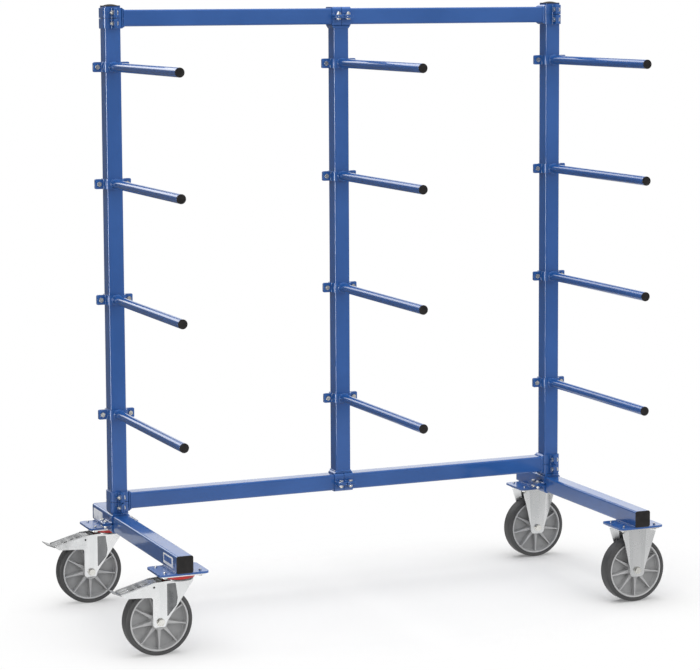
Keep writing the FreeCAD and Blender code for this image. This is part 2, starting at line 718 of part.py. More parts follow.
def pedal():
    """Brake pedal: a padded tread between the guard plates, with a flatter tip and two ears."""
    outer = fork_inside / 2 - pedal_fit
    root_x = pivot_x + pedal_root
    bend_x = -trail - leg_half - pedal_bend_back
    bend_z = crown_bottom - pedal_top_gap
    tip_x = -trail - guard_reach + pedal_tip_inset
    tip_z = guard_low + pedal_tip_rise
    slope = math.atan2(bend_z - tip_z, bend_x - tip_x)
    run = math.hypot(bend_x - tip_x, bend_z - tip_z)
    lip_angle = math.radians(pedal_lip_angle)
    lip_x = tip_x - pedal_lip * math.cos(lip_angle)
    lip_z = tip_z + pedal_lip * math.sin(lip_angle)
    sheet = rounded_outline([
        (root_x, bend_z, 0),
        (bend_x, bend_z, pedal_bend_radius),
        (tip_x, tip_z, sheet_corner),
        (lip_x, lip_z, 0),
        (lip_x + pedal_sheet * math.sin(lip_angle), lip_z - pedal_sheet, 0),
        (tip_x, tip_z - pedal_sheet, sheet_corner),
        (bend_x, bend_z - pedal_sheet, pedal_bend_radius - pedal_sheet),
        (root_x, bend_z - pedal_sheet, 0),
    ]).extrude(vec(0, 2 * outer, 0))

    def on_slope(along, below):
        x = tip_x + along
        return x, tip_z + along * math.tan(slope) - below

    ear = rounded_outline([
        (root_x, bend_z - pedal_sheet / 4, 0),
        (bend_x, bend_z - pedal_sheet / 4, pedal_bend_radius),
        on_slope(pedal_flange / 2, pedal_sheet / 4) + (0,),
        on_slope(pedal_flange, pedal_flange) + (sheet_corner,),
        (bend_x - pedal_flange, bend_z - pedal_flange - sheet_corner, sheet_corner),
        (pivot_x - pedal_ear_round, pivot_z - pedal_ear_round, pedal_ear_corner),
        (pivot_x + pedal_ear_round, pivot_z - pedal_ear_round, pedal_ear_corner),
        (root_x, bend_z - pedal_flange, sheet_corner),
    ]).extrude(vec(0, pedal_sheet, 0))
    hole = cylinder(pedal_pin_radius + pedal_pin_fit, pedal_sheet, vec(pivot_x, 0, pivot_z), Y)
    ears = both_sides(moved(ear.cut(hole), y=-outer))

    def laid(shape, along, across=0.0, above=0.0):
        """A flat shape laid on the slope, at a share of its length from the middle."""
        flat = moved(shape, run * along, across, above)
        return moved(turned(flat, Y, -math.degrees(slope)), x=(bend_x + tip_x) / 2, z=(bend_z + tip_z) / 2)

    pads = []
    for along, width in pedal_pads:
        pad = rounded_plate(run * pedal_pad_share, width, sheet_corner, pedal_pad_height + pedal_sheet / 2)
        pads.append(laid(pad, along, above=-pedal_sheet / 2))
    slot = rounded_plate(pedal_slot_length, pedal_slot_width, pedal_slot_width * 0.45, 4 * pedal_sheet)
    apart = pedal_slot_apart / 2
    slots = [laid(slot, pedal_slot_place, side * apart, -2 * pedal_sheet) for side in (-1, 1)]
    tread = fuse([moved(sheet, y=-outer)] + ears + pads)
    return tread.cut(Part.makeCompound(slots))


def fixed_bracket():
    """Pressed fixed bracket: plate and two legs with flared side wings, wheel centre on X = Y = 0."""
    top = caster_height - caster_plate_thickness
    face = -fork_inside / 2 - bracket_sheet
    foot = wheel_radius - bracket_foot
    low = wheel_radius - bracket_sheet
    plate = moved(caster_plate(), z=caster_height)
    into_plate = top + caster_plate_thickness / 2
    panel = rounded_outline([
        (-bracket_top_half, into_plate, 0),
        (-bracket_foot_half, low, 0),
        (-bracket_foot_half, foot, bracket_corner),
        (bracket_foot_half, foot, bracket_corner),
        (bracket_foot_half, low, 0),
        (bracket_top_half, into_plate, 0),
    ]).extrude(vec(0, bracket_sheet, 0))
    hole = cylinder(axle_radius + axle_fit, bracket_sheet, vec(0, 0, wheel_radius), Y)
    panel = moved(panel.cut(hole), y=face)
    wing_z = top - plate_bolt_head - bracket_wing_gap
    wing_x = bracket_top_half + bracket_flare_x
    wings = []
    for side in (-1, 1):
        wing = polygon([
            vec(side * (bracket_top_half - bracket_wing_root), face, top - bracket_wing_root),
            vec(side * wing_x, face - bracket_flare_y, wing_z),
            vec(side * (bracket_foot_half - bracket_wing_root / 2), face, low),
        ]).extrude(vec(0, bracket_sheet, 0))
        wings.append(wing)
    leg = fuse([panel] + wings)
    return fuse([plate] + both_sides(leg))


# ---- placing and exporting ---------------------------------------------------------------
def at_wheel(pieces, side, end, spin=True):
    """Pieces made round a wheel centre (or, with spin off, on the floor below a caster)."""
    x = side * post_pitch
    if side < 0 and spin:
        x -= trail
    height = wheel_radius if spin else 0.0
    return [moved(piece, x, wheel_y[end], height) for piece in pieces]


def at_casters(pieces, sides, height):
    return [moved(piece, side * post_pitch, y, height)
            for side in sides for y in wheel_y.values() for piece in pieces]


def build():
    nodes = {}
    nodes["base_beam_left"] = [base_beam(-post_pitch)]
    nodes["base_beam_right"] = [base_beam(post_pitch)]
    nodes["post_left"] = [outer_post(-post_pitch)]
    nodes["post_middle"] = [middle_post()]
    nodes["post_right"] = [outer_post(post_pitch)]
    nodes["rail_top"] = [rail(top_rail_z)]
    nodes["rail_bottom"] = [rail(bottom_rail_z)]
    nodes["beam_end_caps"] = beam_end_caps()
    nodes["post_top_caps"] = post_top_caps()
    nodes["joint_straps"] = at_joints(joint_straps())
    nodes["joint_bolts_and_nuts"] = at_joints(joint_fasteners((-row_offset, row_offset)))
    nodes["caster_bolts"] = at_casters(plate_bolts(), (-1, 1), caster_height)
    nodes["swivel_top_plates"] = at_casters([swivel_top_plate()], (-1,), caster_height)
    nodes["swivel_seals"] = at_casters([swivel_seal()], (-1,), caster_height)
    nodes["fixed_axles"] = []
    for end in wheel_y:
        nodes["fixed_bracket_" + end] = at_wheel([fixed_bracket()], 1, end, spin=False)
        nodes["fixed_axles"] += at_wheel(axle(fork_inside + 2 * bracket_sheet), 1, end)
        nodes["swivel_fork_" + end] = at_wheel([fork()], -1, end, spin=False)
        pins = at_wheel(fork_pins(), -1, end, spin=False)
        nodes["fork_axle_and_pins_" + end] = at_wheel(axle(fork_outside), -1, end) + pins
        nodes["brake_pedal_" + end] = at_wheel([pedal()], -1, end, spin=False)
        for side, name in ((-1, "left"), (1, "right")):
            corner = end + "_" + name
            nodes["tyre_" + corner] = at_wheel([tyre()], side, end)
            nodes["rim_" + corner] = at_wheel([rim()], side, end)
            nodes["hub_bearings_" + corner] = at_wheel(hub_bearings(), side, end)
    for level in range(level_count):
        height = first_level_z + level * level_step
        number = str(level + 1)
        for name, x in post_x.items():
            nodes["arm_" + name + "_" + number] = [moved(arm(), x=x, z=height)]
        nodes["arm_caps_" + number] = at_posts([arm_cap()], height)
        strap = turned(half_strap(strap_width, slide_fit), Z, 180)
        nodes["arm_straps_" + number] = at_posts([strap], height)
        nodes["arm_bolts_and_nuts_" + number] = at_posts(joint_fasteners((0.0,)), height)
    return nodes


os.makedirs("parts", exist_ok=True)
for node, solids in build().items():
    shape = solids[0] if len(solids) == 1 else Part.makeCompound(solids)
    shape.exportStep("parts/" + node + ".step")
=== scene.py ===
"""Mobile cantilever rack: finishes, welds, fasteners and wheels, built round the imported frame."""
import json
import math

import bmesh
import bpy
from mathutils import Matrix, Vector, noise

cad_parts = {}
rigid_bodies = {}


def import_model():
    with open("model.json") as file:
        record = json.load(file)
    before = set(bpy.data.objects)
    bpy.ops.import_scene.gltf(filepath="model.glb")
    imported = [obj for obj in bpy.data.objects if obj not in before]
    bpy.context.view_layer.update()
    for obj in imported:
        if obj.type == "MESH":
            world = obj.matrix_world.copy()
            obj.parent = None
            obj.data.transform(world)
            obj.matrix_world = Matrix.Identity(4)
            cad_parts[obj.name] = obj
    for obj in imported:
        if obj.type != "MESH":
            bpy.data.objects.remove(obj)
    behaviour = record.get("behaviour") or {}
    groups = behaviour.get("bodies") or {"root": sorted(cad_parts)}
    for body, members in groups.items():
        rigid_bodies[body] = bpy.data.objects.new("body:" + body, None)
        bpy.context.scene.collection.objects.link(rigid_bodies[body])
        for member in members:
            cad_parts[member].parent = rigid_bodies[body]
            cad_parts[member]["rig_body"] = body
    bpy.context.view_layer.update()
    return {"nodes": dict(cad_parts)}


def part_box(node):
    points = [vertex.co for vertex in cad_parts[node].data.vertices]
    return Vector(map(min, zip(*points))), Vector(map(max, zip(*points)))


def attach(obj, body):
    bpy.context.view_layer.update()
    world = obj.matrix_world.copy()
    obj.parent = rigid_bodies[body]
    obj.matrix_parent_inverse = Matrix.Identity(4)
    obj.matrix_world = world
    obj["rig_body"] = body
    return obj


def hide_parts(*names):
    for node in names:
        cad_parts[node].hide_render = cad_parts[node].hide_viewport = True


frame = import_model()

MM = 0.001

# ---- sizes of the parts that are dressed here ---------------------------------------------
EAR_EDGE = 12.5 * MM            # bolt axis to the tip of an ear
EAR_GAP = 1.0 * MM              # between the two ears that a bolt draws together
STRAP_WIDTH = 30.0 * MM
STRAP_GAP = 1.5 * MM            # between the two straps of a joint
STRAP_SHEET = 4.0 * MM
SADDLE_DEPTH = 10.2 * MM        # face of the held tube to the end of the tube that is welded on
CLAMP_AIR = 0.4 * MM            # between a post and an arm's clamp
ARM_RADIUS = 14.0 * MM
FOOT_PLATE = 6.0 * MM
CASTER_PLATE = 4.0 * MM

BOLT_FLATS = 13.0 * MM          # the bolts of the straps and clamps
BOLT_HEAD = 5.3 * MM
BOLT_NUT = 6.8 * MM
BOLT_TIP = 3.0 * MM             # past the nut
BOLT_RADIUS = 4.0 * MM
THREAD_PITCH = 1.25 * MM
PLATE_BOLT_FLATS = 13.0 * MM    # the bolts of the caster plates
PLATE_BOLT_HEAD = 5.5 * MM
PLATE_BOLT_RADIUS = 4.0 * MM
PLATE_BOLT_LENGTH = 14.0 * MM
PLATE_BOLT_THREAD = 4.4 * MM    # the turns that show above the foot plate
HOLE_OFFSET = (52.5 * MM, 40.0 * MM)

FORK_HALF = 32.0 * MM           # from the middle of a wheel to the outer face of a leg
CROWN_RISE = 114.5 * MM         # wheel axis to the underside of a fork's crown
PIN_RISE = 60.0 * MM            # wheel axis to a height between the axle and the pedal's pins
PANEL_DEPTH = 1.8 * MM
PAD_HEIGHT = 1.2 * MM
SLOPE_HIGH = (26.0 * MM, 2.0 * MM)      # pedal: outwards from the axle, and below the crown
SLOPE_LOW = (114.0 * MM, 28.0 * MM)
SLOT_LENGTH = 21.0 * MM         # between the centres of its round ends
SLOT_WIDTH = 5.0 * MM
SLOT_APART = 17.0 * MM
SLOT_PLACE = 0.17               # share of the way up the slope
SLOT_RIM = 0.9 * MM
GUARD_RIM = 1.3 * MM

TYRE_DEPTH = 12.5 * MM          # tread to the seat on the rim
HUB_RADIUS = 24.0 * MM
RIM_LIP = 6.0 * MM
RIM_STEP = 4.0 * MM             # how far the hub stands out past the rim
WEB_HALF = 3.5 * MM
SPOKES = 9
WHEEL_SEGMENTS = 144

# ---- edges, meshes and weld beads ----------------------------------------------------------
SHEET_EDGE = 0.9 * MM           # rounding of the edges of the floor beams
SOFT_EDGE = 0.6 * MM            # rounding that coating and tumbling leave on cut sheet
CAP_EDGE = 0.4 * MM
SMALL_EDGE = 0.3 * MM
MERGE_WITHIN = 0.005 * MM
RIM_MERGE_WITHIN = 0.01 * MM
FLAT_ANGLE = math.radians(0.6)
SHARP_ANGLE = math.radians(28.0)
EDGE_SEGMENTS = 2
SPINDLE_SEGMENTS = 36
BEAD_SIDES = 10
BEAD_STEP = 1.1 * MM
BEAD_RIPPLE = 3.2 * MM          # from one ripple of a weld to the next
BEAD_LUMPS = 160.0              # frequency of its unevenness
JOINT_BEAD = 2.3 * MM
ARM_BEAD = 2.4 * MM
ARM_BEAD_STEPS = 96
FOOT_BEAD = 2.6 * MM
DIAGONAL = Vector((0.577, 0.577, 0.577))

# ---- floor, light and camera ---------------------------------------------------------------
FLOOR_RADIUS = 3.2
FLOOR_SEGMENTS = 96
FLOOR_SHADE = (0.67, 0.67, 0.67, 1.0)
FLOOR_CENTRE = (0.05, -0.40, 0.0)       # of the part that keeps its shadows
FLOOR_STRETCH = (1.0, 1.7, 1.0)
FLOOR_FADE = (0.80, 1.45)               # distances where the plain white starts and is full
FLOOR_GLOW = 0.12
# The floor's light in reflections, along x - y: start and end of a change, strength at both.
FLOOR_RISE = (-1.5, -0.3, 0.16, 1.04)
FLOOR_FALL = (0.6, 2.4, 0.0, 0.36)

# A lobe: its direction, the cosines of its edge and of its full core, and its strength.
SKY_LOBES = (((0.35, -0.72, 0.6), -0.3, 1.0, 1.12),)
SKY_BASE = 0.30
MIRRORED_LOBES = (
    ((0.0, 0.0, 1.0), 0.45, 0.92, 0.8),             # the panel overhead
    ((-0.135, 0.917, 0.375), 0.962, 0.988, 2.6),    # a small bright one high at the back
    ((0.5, 0.85, 0.12), 0.90, 0.98, 1.05),          # one at the back on the right
    ((0.6, -0.8, 0.0), 0.80, 1.0, 0.25),            # a dim one in front
)
MIRRORED_BASE = 0.19
LAMP_COLOUR = (1.0, 0.995, 0.985)
STRIP_SPREAD = math.radians(44.0)

CAMERA_PLACE = Vector((-2.9416, -7.0417, 1.8608))
CAMERA_YAW = 0.40006
CAMERA_PITCH = 0.10586
CAMERA_ROLL = -0.00488
CAMERA_LENS = 125.92
CAMERA_SENSOR = 36.0
CAMERA_SHIFT = -0.1143
CAMERA_REACH = 60.0

ENDS = ("front", "rear")
SIDES = ("left", "right")
POSTS = ("left", "middle", "right")
LEVELS = ("1", "2", "3", "4")


def middle(node):
    low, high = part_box(node)
    return (low + high) / 2


# ---- places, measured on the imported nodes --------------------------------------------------
post_x = {side: middle("post_" + side).x for side in POSTS}
cap_low, cap_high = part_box("beam_end_caps")
tube = cap_high.z - cap_low.z
half = tube / 2
beam_z = middle("beam_end_caps").z
rail_z = {"top": middle("rail_top").z, "bottom": middle("rail_bottom").z}
level_z = {level: middle("arm_caps_" + level).z for level in LEVELS}
arm_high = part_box("arm_middle_1")[1]
bolt_out = arm_high.x - EAR_EDGE
row_out = (STRAP_WIDTH + STRAP_GAP) / 2
grip = EAR_GAP / 2 + STRAP_SHEET
caster_y = {end: middle("tyre_" + end + "_right").y for end in ENDS}
mount_z = beam_z - half - FOOT_PLATE
wheel_z = middle("tyre_front_left").z
crown_z = wheel_z + CROWN_RISE


# ---- mesh helpers --------------------------------------------------------------------------
def finish_mesh(work, name, materials, body, weighted=True):
    """Turns a bmesh into a smooth object that rides on a body."""
    mesh = bpy.data.meshes.new(name)
    bmesh.ops.recalc_face_normals(work, faces=work.faces)
    for face in work.faces:
        face.smooth = True
    work.to_mesh(mesh)
    work.free()
    for material in materials:
        mesh.materials.append(material)
    piece = bpy.data.objects.new(name, mesh)
    bpy.context.scene.collection.objects.link(piece)
    if weighted:
        even = piece.modifiers.new("even_normals", "WEIGHTED_NORMAL")
        even.keep_sharp = True
    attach(piece, body)
    return piece


def body_of(node):
    return frame["nodes"][node]["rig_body"]


def rounded_copy(node, material, edge, other=None, picks=None):
    """A copy of a node with its sharp edges rounded over, which stands for the node.

    A second material goes on the faces whose centre and normal picks accepts."""
    work = bmesh.new()
    work.from_mesh(frame["nodes"][node].data)
    for layer in list(work.loops.layers.float_vector.values()):
        work.loops.layers.float_vector.remove(layer)
    bmesh.ops.remove_doubles(work, verts=work.verts, dist=MERGE_WITHIN)
    bmesh.ops.dissolve_limit(work, angle_limit=FLAT_ANGLE, verts=work.verts, edges=work.edges)
    for face in work.faces:
        face.material_index = 0
    sharp = [e for e in work.edges if e.is_manifold and e.calc_face_angle(0.0) > SHARP_ANGLE]
    bmesh.ops.bevel(work, geom=sharp, offset=edge, segments=EDGE_SEGMENTS, profile=0.5,
                    affect="EDGES", clamp_overlap=True)
    if picks:
        work.normal_update()
        for face in work.faces:
            face.material_index = int(picks(face.calc_center_median(), face.normal))
    materials = [material, other] if other else [material]
    piece = finish_mesh(work, node + "_rounded", materials, body_of(node))
    stored = piece.data.attributes.get("custom_normal")
    if stored:
        piece.data.attributes.remove(stored)
    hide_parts(node)


def circle_angles(count):
    return [2 * math.pi * i / count for i in range(count)]


def ring_faces(work, rings, close_rings=False, close_path=False):
    """Quads between neighbouring rings of points."""
    count = len(rings[0])
    last = len(rings) if close_path else len(rings) - 1
    faces = []
    for i in range(last):
        low = rings[i]
        high = rings[(i + 1) % len(rings)]
        for j in range(count if close_rings else count - 1):
            k = (j + 1) % count
            faces.append(work.faces.new((low[j], low[k], high[k], high[j])))
    return faces


def turned_body(work, profile, centre, closed=True, material=0):
    """A body turned round the Y axis through centre, from (radius, y) points."""
    rings = []
    for radius, y in profile:
        points = [Vector((radius * math.cos(a), y, radius * math.sin(a)))
                  for a in circle_angles(WHEEL_SEGMENTS)]
        rings.append([work.verts.new(centre + point) for point in points])
    for face in ring_faces(work, rings, close_rings=True, close_path=closed):
        face.material_index = material


def arc_points(cx, cy, radius, start, end, steps):
    """Points of an arc between two angles in degrees."""
    angles = [math.radians(start + (end - start) * i / steps) for i in range(steps + 1)]
    return [(cx + radius * math.cos(a), cy + radius * math.sin(a)) for a in angles]


def spread(points, step, closed=False):
    """Points along straight runs at about the given step."""
    result = []
    following = points[1:] + points[:1] if closed else points[1:]
    for start, end in zip(points, following):
        count = max(1, round((end - start).length / step))
        result += [start.lerp(end, i / count) for i in range(count)]
    if not closed:
        result.append(points[-1])
    return result


# ---- fasteners -----------------------------------------------------------------------------
def hexagon_reach(angle, flats):
    """Distance from the axis to the side of a hexagon, in a given direction."""
    turn = (angle + math.pi / 6) % (math.pi / 3) - math.pi / 6
    return flats / 2 / math.cos(turn)


def threaded_tip(radius, start, end):
    """(limit, height) rings of a thread between two heights, with a chamfered end."""
    root = radius * 0.9
    chamfer = radius * 0.86
    rings = []
    height = start
    while height < end - THREAD_PITCH:
        rings += [(radius, height), (root, height + THREAD_PITCH / 2)]
        height += THREAD_PITCH
    return rings + [(radius, height), (chamfer, end), (0.0, end)]


def add_spindle(work, rings, flats, place, turn):
    """A fastener part along its own +Y: each ring is a circle, which the hexagon may cut."""
    made = []
    for limit, height, hexed in rings:
        ring = []
        for a in circle_angles(SPINDLE_SEGMENTS):
            reach = min(limit, hexagon_reach(a, flats)) if hexed else limit
            point = Vector((reach * math.cos(a), height, reach * math.sin(a)))
            ring.append(work.verts.new(place + turn @ point))
        made.append(ring)
    ring_faces(work, made, close_rings=True)


def head_rings(flats, height, sign=1.0, start=0.0):
    """A hexagon head or nut from its bearing face outwards, its corners turned down."""
    corner = flats / math.sqrt(3.0)
    washer = flats * 0.475
    step = 0.3 * MM                     # the washer face under the head
    drop = (corner - washer) * 0.55     # how far down the corners are turned
    dished = height - 0.15 * MM         # the free face inside its rim
    rings = [(0.0, 0.0, False), (washer, 0.0, False), (washer, step, False), (corner, step, True)]
    for share, down in ((1.0, 1.0), (0.975, 0.72), (0.94, 0.36)):
        rings.append((corner * share, height - drop * down, True))
    rings += [(washer, height, False), (washer * 0.9, dished, False), (0.0, dished, False)]
    return [(limit, start + sign * place, hexed) for limit, place, hexed in rings]


def add_bolt_and_nut(work, place, turn):
    """A bolt through a pair of ears, head on its own -Y side, nut on the other."""
    add_spindle(work, head_rings(BOLT_FLATS, BOLT_HEAD, -1.0, -grip), BOLT_FLATS, place, turn)
    add_spindle(work, head_rings(BOLT_FLATS, BOLT_NUT, 1.0, grip), BOLT_FLATS, place, turn)
    outer = grip + BOLT_NUT
    tip = threaded_tip(BOLT_RADIUS, outer - THREAD_PITCH, outer + BOLT_TIP)
    shank = [(BOLT_RADIUS, -grip), (BOLT_RADIUS, grip)]
    rings = [(limit, height, False) for limit, height in shank + tip]
    add_spindle(work, rings, BOLT_FLATS, place, turn)


def add_plate_bolt(work, place, turn):
    """A bolt whose head bears on a caster's plate from below."""
    head = head_rings(PLATE_BOLT_FLATS, PLATE_BOLT_HEAD, -1.0)
    add_spindle(work, head, PLATE_BOLT_FLATS, place, turn)
    start = PLATE_BOLT_LENGTH - PLATE_BOLT_THREAD
    tip = threaded_tip(PLATE_BOLT_RADIUS, start, PLATE_BOLT_LENGTH)
    rings = [(limit, height, False) for limit, height in [(PLATE_BOLT_RADIUS, 0.0)] + tip]
    add_spindle(work, rings, PLATE_BOLT_FLATS, place, turn)


# ---- weld beads and rolled rims ------------------------------------------------------------
def bead(name, path, radius, material, body, closed=False, ripple=0.12):
    """A weld bead or rolled rim along a path of points, with the ripples of its run."""
    work = bmesh.new()
    count = len(path)
    rings = []
    travelled = 0.0
    for i, point in enumerate(path):
        before = path[i - 1] if (i > 0 or closed) else path[i]
        after = path[(i + 1) % count] if (i < count - 1 or closed) else path[i]
        along = (after - before).normalized()
        travelled += (point - path[i - 1]).length if i > 0 else 0.0
        if abs(along.dot(DIAGONAL)) < 0.99:
            side = along.cross(DIAGONAL).normalized()
        else:
            side = along.orthogonal().normalized()
        up = along.cross(side)
        wave = abs(math.sin(math.pi * travelled / BEAD_RIPPLE))
        lump = noise.noise(point * BEAD_LUMPS)
        size = radius * (1.0 - ripple + ripple * wave + 0.8 * ripple * lump)
        rings.append([work.verts.new(point + (side * math.cos(a) + up * math.sin(a)) * size)
                      for a in circle_angles(BEAD_SIDES)])
    ring_faces(work, rings, close_rings=True, close_path=closed)
    if not closed:
        work.faces.new(list(reversed(rings[0])))
        work.faces.new(rings[-1])
    finish_mesh(work, name, [material], body, weighted=False)


# ---- shader helpers ------------------------------------------------------------------------
def feed(tree, socket, value):
    """A number or a tuple becomes a socket's value, anything else is linked to it."""
    if isinstance(value, (float, tuple)):
        socket.default_value = value
    else:
        tree.links.new(value, socket)


def math_node(tree, operation, *values, clamp=False):
    node = tree.nodes.new("ShaderNodeMath")
    node.operation = operation
    node.use_clamp = clamp
    for socket, value in zip(node.inputs, values):
        feed(tree, socket, value)
    return node.outputs[0]


def vector_node(tree, operation, first, second):
    node = tree.nodes.new("ShaderNodeVectorMath")
    node.operation = operation
    feed(tree, node.inputs[0], first)
    feed(tree, node.inputs[1], second)
    return node.outputs


def ranged(tree, value, low, high, to_low, to_high, smooth=False):
    node = tree.nodes.new("ShaderNodeMapRange")
    node.interpolation_type = "SMOOTHSTEP" if smooth else "LINEAR"
    feed(tree, node.inputs["Value"], value)
    feed(tree, node.inputs["From Min"], low)
    feed(tree, node.inputs["From Max"], high)
    feed(tree, node.inputs["To Min"], to_low)
    feed(tree, node.inputs["To Max"], to_high)
    return node.outputs["Result"]


def noise_in(tree, coordinates, scale, detail, rough):
    node = tree.nodes.new("ShaderNodeTexNoise")
    feed(tree, node.inputs["Vector"], coordinates)
    feed(tree, node.inputs["Scale"], scale)
    feed(tree, node.inputs["Detail"], detail)
    feed(tree, node.inputs["Roughness"], rough)
    return node.outputs["Fac"]


def full_contrast(tree, value):
    """A noise spread over the whole range from 0 to 1."""
    return ranged(tree, value, 0.3, 0.7, 0.0, 1.0, True)


def object_place(tree):
    return tree.nodes.new("ShaderNodeTexCoord").outputs["Object"]


def drawn_out(tree, coordinates, share):
    """Coordinates that make a pattern longer along Z."""
    node = tree.nodes.new("ShaderNodeMapping")
    node.inputs["Scale"].default_value = (1.0, 1.0, share)
    tree.links.new(coordinates, node.inputs["Vector"])
    return node.outputs["Vector"]


def mix_shaders(tree, share, first, second):
    node = tree.nodes.new("ShaderNodeMixShader")
    for socket, source in zip(node.inputs, (share, first, second)):
        tree.links.new(source, socket)
    return node.outputs[0]


def white_light(tree, kind, strength):
    """A white emission or background."""
    node = tree.nodes.new(kind)
    node.inputs["Color"].default_value = (1.0, 1.0, 1.0, 1.0)
    feed(tree, node.inputs["Strength"], strength)
    return node.outputs[0]


def lobe_sum(tree, direction, lobes, base):
    """Soft round panels of light in a dim surrounding."""
    result = base
    for towards, edge, core, strength in lobes:
        cosine = vector_node(tree, "DOT_PRODUCT", direction, towards)["Value"]
        lobe = ranged(tree, cosine, edge, core, 0.0, strength, True)
        result = math_node(tree, "ADD", lobe, result)
    return result


# ---- effects that several finishes share ---------------------------------------------------
def make_group(name, inputs, outputs):
    group = bpy.data.node_groups.new(name, "ShaderNodeTree")
    for label, value in inputs:
        socket = group.interface.new_socket(name=label, in_out="INPUT",
                                            socket_type="NodeSocketFloat")
        socket.default_value = value
    for label in outputs:
        group.interface.new_socket(name=label, in_out="OUTPUT", socket_type="NodeSocketFloat")
    start = group.nodes.new("NodeGroupInput")
    end = group.nodes.new("NodeGroupOutput")
    return group, start.outputs, end.inputs


def make_surface_drift():
    """Slow unevenness over a surface and a fine grain, both from 0 to 1."""
    inputs = [("Drift Scale", 6.0), ("Grain Scale", 500.0)]
    group, given, made = make_group("surface_drift", inputs, ["Drift", "Grain"])
    place = object_place(group)
    drift = noise_in(group, place, given["Drift Scale"], detail=3.0, rough=0.55)
    grain = noise_in(group, place, given["Grain Scale"], detail=2.0, rough=0.6)
    group.links.new(full_contrast(group, drift), made["Drift"])
    group.links.new(grain, made["Grain"])
    return group


def make_worn_and_highlit_edge():
    """Lighter edges: partly a coating thin over an edge, partly a painted highlight where edges
    catch the light; 1 on the edge, 0 on flats, broken up by noise.
    """
    inputs = [("Start", 0.52), ("End", 0.60), ("Break Up", 0.35)]
    group, given, made = make_group("worn_and_highlit_edge", inputs, ["Edge"])
    pointed = group.nodes.new("ShaderNodeNewGeometry").outputs["Pointiness"]
    edge = ranged(group, pointed, given["Start"], given["End"], 0.0, 1.0, True)
    patchy = noise_in(group, object_place(group), 70.0, detail=3.0, rough=0.6)
    kept = math_node(group, "MULTIPLY_ADD", patchy, given["Break Up"], 0.65, clamp=True)
    group.links.new(math_node(group, "MULTIPLY", edge, kept), made["Edge"])
    return group


def make_drawn_streaks():
    """Faint streaks from rolling and plating, stretched along Z."""
    group, given, made = make_group("drawn_streaks", [("Scale", 90.0)], ["Streak"])
    place = drawn_out(group, object_place(group), 0.12)
    streak = noise_in(group, place, given["Scale"], detail=4.0, rough=0.65)
    group.links.new(full_contrast(group, streak), made["Streak"])
    return group


def make_sheet_wave():
    """The slow waviness of pressed sheet, longer along Z than across."""
    group, given, made = make_group("sheet_wave", [("Scale", 14.0)], ["Wave"])
    place = drawn_out(group, object_place(group), 0.35)
    group.links.new(noise_in(group, place, given["Scale"], detail=0.5, rough=0.4), made["Wave"])
    return group


surface_drift = make_surface_drift()
worn_and_highlit_edge = make_worn_and_highlit_edge()
drawn_streaks = make_drawn_streaks()
sheet_wave = make_sheet_wave()


# ---- finishes ------------------------------------------------------------------------------
class Finish:
    """A material under construction: one Principled shader and the nodes that feed it."""

    def __init__(self, name, metallic=0.0, specular=0.5, coat=0.0, coat_roughness=0.1):
        self.material = bpy.data.materials.new(name)
        self.material.use_nodes = True
        self.tree = self.material.node_tree
        self.shader = self.tree.nodes["Principled BSDF"]
        self.shader.inputs["Metallic"].default_value = metallic
        self.shader.inputs["Specular IOR Level"].default_value = specular
        self.shader.inputs["Coat Weight"].default_value = coat
        self.shader.inputs["Coat Roughness"].default_value = coat_roughness

    def effect(self, group, **values):
        """The outputs of a shared effect, with some of its inputs set."""
        node = self.tree.nodes.new("ShaderNodeGroup")
        node.node_tree = group
        for label, value in values.items():
            node.inputs[label.replace("_", " ")].default_value = value
        return node.outputs

    def blend(self, mask, low, high):
        """A colour between two, by a mask; each may be a colour or another output."""
        node = self.tree.nodes.new("ShaderNodeMix")
        node.data_type = "RGBA"
        self.tree.links.new(mask, node.inputs["Factor"])
        for socket, colour in ((node.inputs[6], low), (node.inputs[7], high)):
            feed(self.tree, socket, (*colour, 1.0) if isinstance(colour, tuple) else colour)
        return node.outputs[2]

    def colour(self, output):
        self.tree.links.new(output, self.shader.inputs["Base Color"])

    def roughness(self, mask, low, high):
        rough = ranged(self.tree, mask, 0.0, 1.0, low, high)
        self.tree.links.new(rough, self.shader.inputs["Roughness"])

    def bump(self, height, distance, strength, over=None):
        """Relief; one bump can lie over the normal of another. Returns its normal."""
        node = self.tree.nodes.new("ShaderNodeBump")
        node.inputs["Distance"].default_value = distance
        node.inputs["Strength"].default_value = strength
        self.tree.links.new(height, node.inputs["Height"])
        if over:
            self.tree.links.new(over, node.inputs["Normal"])
        self.tree.links.new(node.outputs["Normal"], self.shader.inputs["Normal"])
        return node.outputs["Normal"]


def plain_finish(name, dark, light, rough, drift, grain, relief, strength, edge=None, **shader):
    """Slow drift between two colours with a fine grain; another, lighter colour may show on the
    edges: a painted highlight, on coated metal also a thin coat.
    """
    finish = Finish(name, **shader)
    surface = finish.effect(surface_drift, Drift_Scale=drift, Grain_Scale=grain)
    body = finish.blend(surface["Drift"], dark, light)
    if edge:
        # lighter edges: a painted highlight, on coated metal also a thin coat
        body = finish.blend(finish.effect(worn_and_highlit_edge)["Edge"], body, edge)
    finish.colour(body)
    finish.roughness(surface["Drift"], *rough)
    finish.bump(surface["Grain"], relief, strength)
    return finish.material


def blue_powder_coat():
    return plain_finish(
        "blue_powder_coat", dark=(0.011, 0.067, 0.242), light=(0.015, 0.080, 0.282),
        # edge: a lighter blue on the edges, partly a coat thin over them, partly a painted
        # highlight
        edge=(0.040, 0.130, 0.38), rough=(0.28, 0.38), drift=5.0, grain=520.0,
        relief=0.08 * MM, strength=0.25, specular=0.22, coat=0.9, coat_roughness=0.07)


